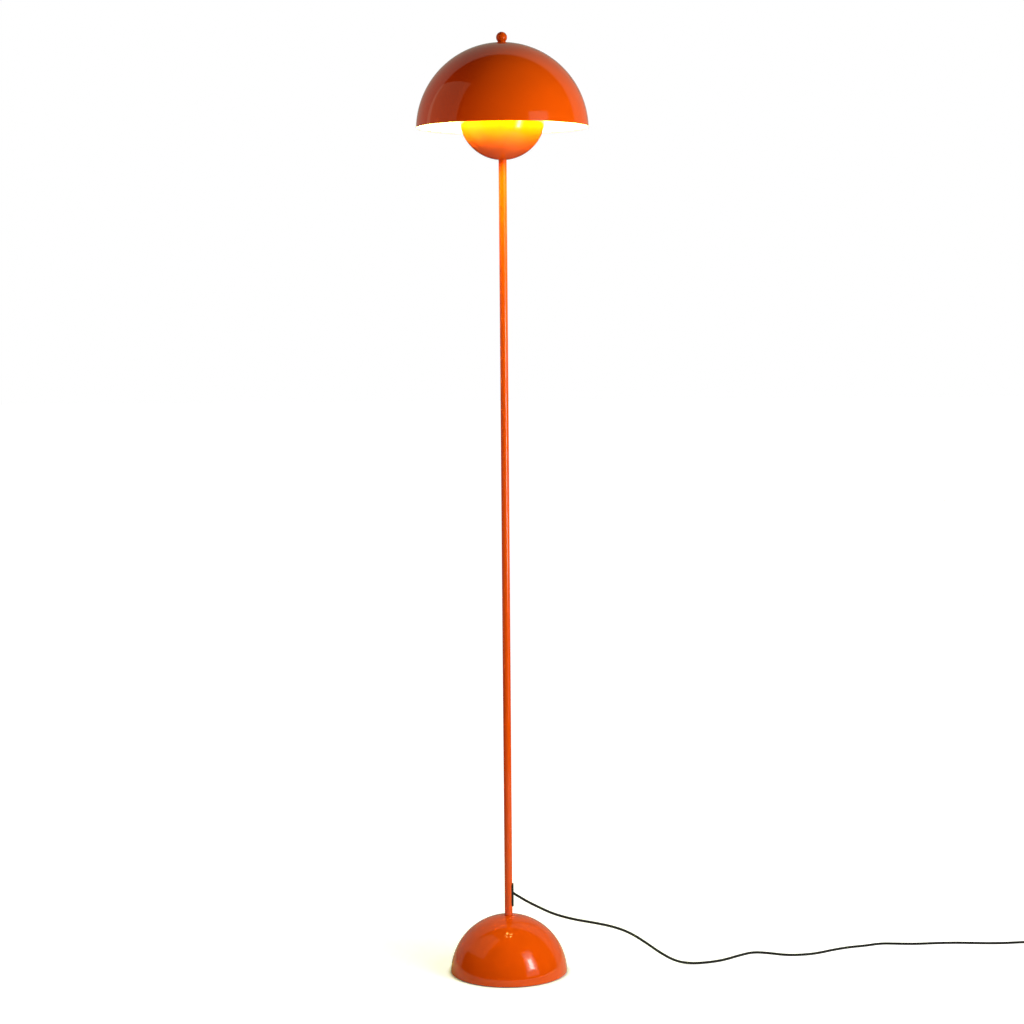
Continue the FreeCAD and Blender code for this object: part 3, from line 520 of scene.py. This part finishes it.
def dome(name, side, centre_z, radius, wall, rim_z, hole, painted_in, steps):
    """A spun shell's outside, rounded rim and inside, in two paints. side is 1 where it closes
    at the top and -1 where it closes at the bottom; painted_in is how far the outer paint goes in."""
    inner = radius - wall
    rim_outside, rim_inside = rim_angle(centre_z, radius, rim_z), rim_angle(centre_z, inner, rim_z)
    outside = arc(centre_z, radius, side * hole_angle(radius, hole), rim_outside, steps)
    inside = arc(centre_z, inner, rim_inside, side * hole_angle(inner, hole), steps)
    lip = 0.42 * wall
    rim_out = bend(outside[-1], outside[-2], inside[0], lip)
    rim_in = bend(inside[0], outside[-1], inside[1], lip)
    edge = math.degrees(painted_in / inner) / abs(hole_angle(inner, hole) - side * rim_inside)
    start, following = Vector(inside[0]), Vector(inside[1])
    wrap = tuple(start + (following - start) * min(1.0, edge * steps))
    skin = outside[:-1] + rim_out + rim_in
    profile = skin + [wrap] + inside[1:]
    kinds = [0] * len(skin) + [1] * (len(profile) - len(skin))
    kinds[-1] = 0
    return turned(name, profile, [orange, white], kinds=kinds)


SHADE = dict(centre_z=1.7525, radius=0.176, wall=0.001, rim_z=1.7575, hole=0.0038, painted_in=0.0012)
BOWL = dict(centre_z=1.7802, radius=0.0882, wall=0.001, rim_z=1.7777, hole=0.0052, painted_in=0.0010)
piece(dome("shade_dome", 1, steps=120, **SHADE), "shade", "orange_lacquer", "shade")
piece(dome("bowl_dome", -1, steps=80, **BOWL), "stand", "orange_lacquer", "bowl")


def base_dome():
    """The base's spun cover, with a folded hem at its foot and a rounded hole for the pole."""
    centre_z, radius, wall, low = -0.0028, 0.1226, 0.0012, 0.0015
    hole, hem_top, hem_in = 0.00845, 0.0075, radius - 2 * wall
    outside = arc(centre_z, radius, hole_angle(radius, hole), rim_angle(centre_z, radius, low), 120)
    inner = radius - wall
    inside = arc(centre_z, inner, rim_angle(centre_z, inner, hem_top), hole_angle(inner, hole), 60)
    foot = (hem_in, low)
    edge = bend(outside[-1], outside[-2], foot, 0.0007, 6)
    fold = bend(foot, outside[-1], (hem_in, hem_top), 0.0004)
    neck = bend(outside[0], (hole, outside[0][1] - 0.001), outside[1], 0.0004)
    profile = neck + outside[1:-1] + edge + fold + [(hem_in, hem_top)] + inside
    return turned("base_dome", profile, [orange])


piece(base_dome(), "stand", "orange_lacquer", "base_shell")


POLE_JOINT_Z = 1.380


def pole_tube(name, low, high, low_edge, high_edge):
    """A length of the pole, with its two ends' edges broken by so much."""
    outer, bore = 0.00825, 0.00675
    profile = [
        (bore, low), (outer - low_edge, low), (outer, low + low_edge),
        (outer, high - high_edge), (outer - high_edge, high), (bore, high),
    ]
    return turned(name, profile, [orange], rings=96)


lower_pole = pole_tube("lower_pole_tube", 0.016, POLE_JOINT_Z, 0.0002, 0.0004)
piece(lower_pole, "stand", "orange_lacquer", "lower_pole")
upper_pole = pole_tube("upper_pole_tube", POLE_JOINT_Z, 1.684, 0.0004, 0.00025)
piece(upper_pole, "stand", "orange_lacquer", "upper_pole")


def ball_knob():
    """The knob: a ball on a short foot, with a bore for the stud."""
    radius, centre_z, low = 0.0112, 1.9388, 1.9288
    foot, foot_top, bore, bore_top = 0.00825, 1.9308, 0.0033, 1.9288 + 0.014
    ball = arc(centre_z, radius, rim_angle(centre_z, radius, foot_top), 90, 48)
    ball[-1] = (0, centre_z + radius)
    foot_low = bend((foot, low), (bore, low), (foot, foot_top), 0.0005)
    foot_high = bend((foot, foot_top), (foot, low), ball[0], 0.0003)
    profile = [(0, bore_top), (bore, bore_top), (bore, low)] + foot_low + foot_high + ball
    return turned("ball_knob", profile, [orange], rings=96, closed=False)


piece(ball_knob(), "finial", "orange_lacquer", "finial")


def bulb_glass():
    """Neck, flare and ball, with the wall turned back inside."""
    neck_z, ball_z, ball, neck, wall, waist_steps = 1.7575, 1.8085, 0.030, 0.013, 0.001, 16
    flare = (neck**2 + (ball_z - neck_z) ** 2 - ball**2) / (2 * (ball - neck))
    far = neck + flare
    meet = math.degrees(math.atan2(ball_z - neck_z, far))

    def side(inset):
        waist = [
            (far - (flare + inset) * math.cos(a), neck_z + (flare + inset) * math.sin(a))
            for a in (math.radians(meet * i / waist_steps) for i in range(waist_steps + 1))
        ]
        around = arc(ball_z, ball - inset, -meet, 90, 40)
        around[-1] = (0, ball_z + ball - inset)
        return waist + around[1:]

    return turned("opal_bulb", side(0) + list(reversed(side(wall))), [lit_glass()], rings=96)


piece(bulb_glass(), "bulb", "bulb_glass", "bulb_glass")


# ---- Sleeves, plug and the cords themselves ----


SLEEVE_TIP = 0.0074  # how wide a sleeve is where the cord leaves it


def ribbed_sleeve(name, root, heading, wide):
    """A tapered rubber sleeve with grooves that let it bend."""
    length, collar, ribs, narrow = 0.020, 0.0035, 6, SLEEVE_TIP
    bore = CORD_DIAMETER / 2 + 0.00005
    pitch = (length - collar) / ribs
    profile = [(bore, 0.0), (wide / 2 - 0.0003, 0.0), (wide / 2, 0.0003)]

    def skin(z):
        return (wide + (narrow - wide) * z / length) / 2

    profile.append((skin(collar), collar))
    for i in range(ribs):
        z = collar + i * pitch
        depth = 0.55 * (skin(z) - bore)
        profile += [
            (skin(z + 0.10 * pitch) - 0.7 * depth, z + 0.10 * pitch),
            (skin(z + 0.18 * pitch) - depth, z + 0.18 * pitch),
            (skin(z + 0.34 * pitch) - depth, z + 0.34 * pitch),
            (skin(z + 0.42 * pitch) - 0.7 * depth, z + 0.42 * pitch),
            (skin(z + 0.50 * pitch), z + 0.50 * pitch),
            (skin(z + 0.96 * pitch), z + 0.96 * pitch),
        ]
    profile += [(skin(length) - 0.0002, length), (bore, length)]
    obj = turned(name, profile, [black_rubber], rings=64)
    turn = Vector((0, 0, 1)).rotation_difference(Vector(heading)).to_matrix().to_4x4()
    obj.data.transform(Matrix.Translation(root) @ turn)
    return obj


def plug_shell():
    """The flat body: a softly rounded outline with finger ribs on both long sides."""
    x, low, centre_z = PLUG_END
    high, shoulder, half_height = 0.031, 0.012, 0.00685
    neck, waist_end, face = 0.0070, 0.01745, 0.01765  # half widths, from the cord to the pins
    spans, ribs, rib_depth, rib_from, rib_to = 23, 5, 0.00045, 0.35, 0.95
    outline = [(neck, low)]
    for i in range(1, spans + 1):
        t = i / spans
        ease = t * t * (3 - 2 * t)
        y = low + (high - shoulder - low) * t
        width = neck + (waist_end - neck) * ease
        if rib_from < t < rib_to:
            wave = math.cos(2 * math.pi * ribs * (t - rib_from) / (rib_to - rib_from))
            width -= rib_depth * (0.5 - 0.5 * wave)
        outline.append((width, y))
    outline += [(face, high - 0.010), (face, high)]
    plan = outline + [(-w, y) for w, y in reversed(outline)]
    layers = [(0.0023, -1.0), (0.0009, -0.88), (0.0, -0.55), (0.0, 0.55), (0.0009, 0.88), (0.0023, 1.0)]
    vertices, faces, count = [], [], len(plan)
    middle, half_width, half_length = (low + high) / 2, 0.0175, 0.018
    for inset, level in layers:
        for w, y in plan:
            across = w * (1 - inset / half_width)
            along = (y - middle) * (1 - inset / half_length)
            vertices.append((x + across, middle + along, centre_z + half_height * level))
    for layer in range(len(layers) - 1):
        for i in range(count):
            a, b = layer * count + i, layer * count + (i + 1) % count
            faces.append((a, b, b + count, a + count))
    faces.append(tuple(reversed(range(count))))
    faces.append(tuple(range((len(layers) - 1) * count, len(layers) * count)))
    obj = new_mesh("plug_shell", vertices, faces, [black_plastic])
    outward(obj)
    obj.data.set_sharp_from_angle(angle=math.radians(50))
    rounding = obj.modifiers.new("rounding", "BEVEL")
    rounding.width = 0.0006
    rounding.segments = 3
    rounding.limit_method = "ANGLE"
    rounding.angle_limit = math.radians(40)
    rounding.harden_normals = True
    return obj


switch_ends = [
    ribbed_sleeve("switch_sleeve_in", SWITCH_IN, (0, 1, 0), 0.011),
    ribbed_sleeve("switch_sleeve_out", SWITCH_OUT, (0, -1, 0), 0.011),
]
for switch_end in switch_ends:
    piece(switch_end, "stand", "black_rubber", "switch_sleeves")
plug_end = ribbed_sleeve("plug_sleeve_ribs", PLUG_END, (0, -1, 0), 0.0097)
piece(plug_end, "stand", "black_rubber", "plug_sleeve")
plug = piece(plug_shell(), "stand", "black_plastic", "plug_body")

run_line, run_length = evenly(smooth_line(run_route), RING_STEP)
run = tube_along("cord_to_switch", run_line, textile)
piece(run, "stand", "cord_textile", "cord_run")
tail_line, tail_length = evenly(smooth_line(tail_route), RING_STEP)
tail = tube_along("cord_to_plug", tail_line, textile)
piece(tail, "stand", "cord_textile", "cord_tail", "cord_coil", "cord_end")
print("cord lengths", round(run_length, 4), round(tail_length, 4))


# ---- Studio ----


def area_light(name, place, facing, width, height, radiance, tint=(1, 1, 1), mirrored=True):
    """A panel, or a disc where it has no height, that the camera doesn't see."""
    data = bpy.data.lights.new(name, "AREA")
    data.shape = "RECTANGLE" if height else "DISK"
    data.size = width
    area = math.pi * width**2 / 4
    if height:
        data.size_y = height
        area = width * height
    data.energy = radiance * math.pi * area
    data.color = tint
    lamp = link(name, data)
    turn = Vector(facing).to_track_quat("-Z", "Y").to_matrix().to_4x4()
    lamp.matrix_world = Matrix.Translation(place) @ turn
    lamp.visible_camera = False
    lamp.visible_glossy = mirrored


# The key: panels one before the other, so that its reflection is bright inside and soft outside.
KEY, KEY_DISTANCE = Vector((0.743, -0.669, 0)), 2.1
for name, centre_z, width, height, radiance in (
    ("key_core", 1.00, 0.32, 0.80, 16.0),
    ("key_inner", 1.03, 0.48, 0.95, 4.5),
    ("key_middle", 1.08, 0.62, 1.15, 3.5),
    ("key_outer", 1.28, 0.80, 1.60, 1.9),
    ("key_edge", 1.30, 1.00, 2.30, 0.7),
):
    area_light(name, KEY * KEY_DISTANCE + Vector((0, 0, centre_z)), -KEY, width, height, radiance)
area_light("left_panel", (-1.02, 0.06, 1.65), (0.870, 0.493, 0), 1.218, 2.3, 0.45, (1.0, 0.80, 0.5))

# Lamps that light the surfaces but aren't mirrored in them: the bulb's light that the shade throws
# down on the bowl and pole, and two soft fills.
for name, place, facing, width, height, radiance, tint in (
    ("lamp_glow", (0, 0, 1.800), (0, 0, -1), 0.330, None, 37.0, (0.70, 1.0, 0.18)),
    ("low_glow", (0, 0, 1.765), (0, 0, -1), 0.347, None, 13.0, (0.65, 1.0, 0.18)),
    ("head_fill", (1.7, -1.0, 1.95), (-1.7, 1.0, -0.1), 0.8, 0.8, 12.0, (1.0, 1.15, 1.0)),
    ("left_fill", (-1.5, -1.5, 1.5), (1.5, 1.5, -0.5), 0.8, 0.8, 3.3, (1.0, 0.45, 0.4)),
):
    area_light(name, place, facing, width, height, radiance, tint, mirrored=False)


def math_node(tree, kind, first, second):
    node = tree.nodes.new("ShaderNodeMath")
    node.operation = kind
    for socket, value in zip(node.inputs, (first, second)):
        if isinstance(value, (int, float)):
            socket.default_value = value
        else:
            tree.links.new(value, socket)
    return node.outputs[0]


def eased(tree, value, low, high, to_low, to_high):
    """Goes softly from to_low to to_high while the value goes from low to high."""
    node = tree.nodes.new("ShaderNodeMapRange")
    node.interpolation_type = "SMOOTHSTEP"
    for socket, number in zip(list(node.inputs)[1:5], (low, high, to_low, to_high)):
        socket.default_value = number
    tree.links.new(value, node.inputs["Value"])
    return node.outputs["Result"]


def seen_directly(tree, light):
    return math_node(tree, "MAXIMUM", light["Is Camera Ray"], light["Is Transmission Ray"])


def studio_world():
    """White for the camera; for the object, a white backdrop behind it and a dim room in front."""
    world = bpy.data.worlds.new("studio")
    world.use_nodes = True
    scene.world = world
    tree = world.node_tree
    background = tree.nodes["Background"]
    split = tree.nodes.new("ShaderNodeSeparateXYZ")
    tree.links.new(tree.nodes.new("ShaderNodeTexCoord").outputs["Generated"], split.inputs[0])
    light = tree.nodes.new("ShaderNodeLightPath").outputs
    # Y is how far a ray heads for the backdrop: -1 is straight at the camera's side, 1 straight away.
    mirrored = eased(tree, split.outputs["Y"], 0.36, 0.40, 0.015, 0.36)
    spread = eased(tree, split.outputs["Y"], -0.1, 0.55, 0.055, 0.19)
    seen = seen_directly(tree, light)
    glossy = math_node(tree, "MULTIPLY", light["Is Glossy Ray"], mirrored)
    matt = math_node(tree, "MULTIPLY", math_node(tree, "SUBTRACT", 1.0, light["Is Glossy Ray"]), spread)
    unseen = math_node(tree, "SUBTRACT", 1.0, seen)
    rest = math_node(tree, "MULTIPLY", unseen, math_node(tree, "ADD", glossy, matt))
    tree.links.new(math_node(tree, "ADD", seen, rest), background.inputs["Strength"])
    mixes = []
    for ray, tint in (("Is Diffuse Ray", (1.0, 0.50, 0.40, 1)), ("Is Glossy Ray", (1.0, 0.97, 0.78, 1))):
        mix = tree.nodes.new("ShaderNodeMix")
        mix.data_type = "RGBA"
        tree.links.new(light[ray], mix.inputs["Factor"])
        mix.inputs["A"].default_value = (1, 1, 1, 1)
        mix.inputs["B"].default_value = tint
        mixes.append(mix)
    tree.links.new(mixes[0].outputs["Result"], mixes[1].inputs["A"])
    tree.links.new(mixes[1].outputs["Result"], background.inputs["Color"])


def studio_floor():
    """A plain pale floor that is lifted to white for the camera, with a painted contact shadow: the lift
    falls almost to nothing across the base's edge.
    """
    reach, pale = 30.0, 0.74
    corners = [(-reach, -reach, 0), (reach, -reach, 0), (reach, reach, 0), (-reach, reach, 0)]
    material = bpy.data.materials.new("studio_floor")
    material.use_nodes = True
    tree = material.node_tree
    shader = tree.nodes["Principled BSDF"]
    shader.inputs["Base Color"].default_value = (pale, pale, pale, 1)
    shader.inputs["Roughness"].default_value = 1.0
    shader.inputs["Specular IOR Level"].default_value = 0.0
    light = tree.nodes.new("ShaderNodeLightPath").outputs
    away = tree.nodes.new("ShaderNodeVectorMath")
    away.operation = "LENGTH"
    tree.links.new(tree.nodes.new("ShaderNodeTexCoord").outputs["Object"], away.inputs[0])
    # Metres from the lamp's axis: across the base's edge the lift falls almost to nothing, a dark ring
    # painted as the base's contact shadow, and then the lift grows further out.
    lift_with_painted_edge_shadow = eased(tree, away.outputs["Value"], 0.121, 0.133, 0.08, 0.66)
    further = eased(tree, away.outputs["Value"], 0.13, 0.9, 0.0, 0.34)
    lift = tree.nodes.new("ShaderNodeEmission")
    tree.links.new(math_node(tree, "ADD", lift_with_painted_edge_shadow, further), lift.inputs["Strength"])
    added = tree.nodes.new("ShaderNodeAddShader")
    tree.links.new(shader.outputs[0], added.inputs[0])
    tree.links.new(lift.outputs[0], added.inputs[1])
    mix = tree.nodes.new("ShaderNodeMixShader")
    tree.links.new(seen_directly(tree, light), mix.inputs[0])
    tree.links.new(shader.outputs[0], mix.inputs[1])
    tree.links.new(added.outputs[0], mix.inputs[2])
    tree.links.new(mix.outputs[0], tree.nodes["Material Output"].inputs["Surface"])
    new_mesh("studio_floor", corners, [(0, 1, 2, 3)], [material])


studio_world()
studio_floor()
scene.view_settings.view_transform = "Standard"


def plain(bounds):
    return [[float(v) for v in corner] for corner in bounds]
